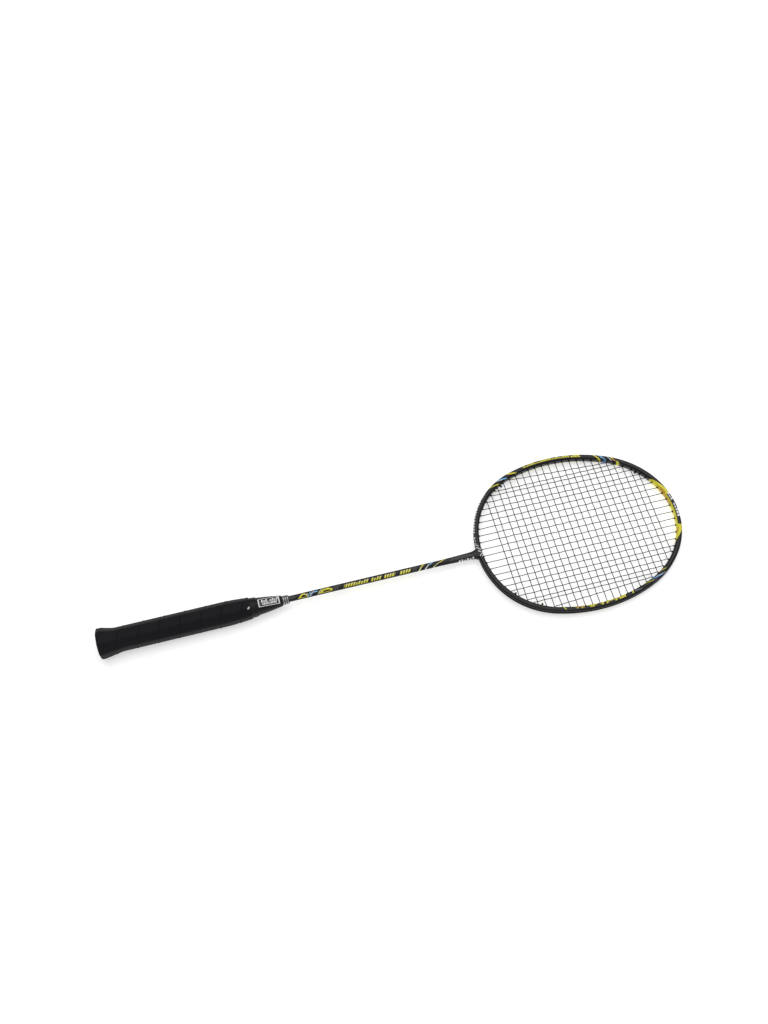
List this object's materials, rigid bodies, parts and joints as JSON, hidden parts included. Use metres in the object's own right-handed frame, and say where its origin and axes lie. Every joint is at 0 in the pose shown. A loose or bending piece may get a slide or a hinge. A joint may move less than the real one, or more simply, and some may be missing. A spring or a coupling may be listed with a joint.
{
  "type": "badminton racket",
  "caption": "Strung racket with an oval carbon hoop, a slim round shaft, a banded collar and cone, and a black wrapped octagonal handle; swung by hand to hit a shuttlecock",
  "frame": {"origin": "centre of the flat butt end face, on the axis of the handle and shaft", "axes": "+X runs along the shaft to the tip of the head, +Z is square to the string bed on its front side, +Y completes the right-handed frame across the head"},
  "size_m": [0.675, 0.1976, 0.033],
  "materials": {
    "frame_paint": "clear-coated black carbon with yellow, blue and white painted graphics",
    "shaft_paint": "satin black carbon tube with painted slashes",
    "joint_plastic": "moulded",
    "collar_paint": "satin grey",
    "collar_metal": "bright silver",
    "cone_plastic": "smooth moulded black",
    "label_print": "printed film",
    "tape": "semi-gloss vinyl tape",
    "handle_wood": "bare",
    "cap_plastic": "moulded black",
    "badge": "satin silver film",
    "grip_tape": "soft polyurethane wrap",
    "string": "coated multifilament",
    "grommet": "moulded nylon"
  },
  "bodies": {
    "root": {"frame_hoop": "frame_paint", "t_joint": "joint_plastic", "throat_fairing": "frame_paint", "shaft": "shaft_paint", "collar_sleeve": "collar_paint", "collar_rings": "collar_metal", "cone": "cone_plastic", "cone_label": "label_print", "finish_tape": "tape", "handle_core": "handle_wood", "butt_cap": "cap_plastic", "butt_badge": "badge", "grip": "grip_tape", "main_string": "string", "cross_string": "string", "main_knots": "string", "cross_knots": "string", "crown_grommets": "grommet", "far_grommets": "grommet", "near_grommets": "grommet", "throat_grommets": "grommet", "shared_grommets": "grommet", "tie_grommets": "grommet"}
  },
  "joints": []
}
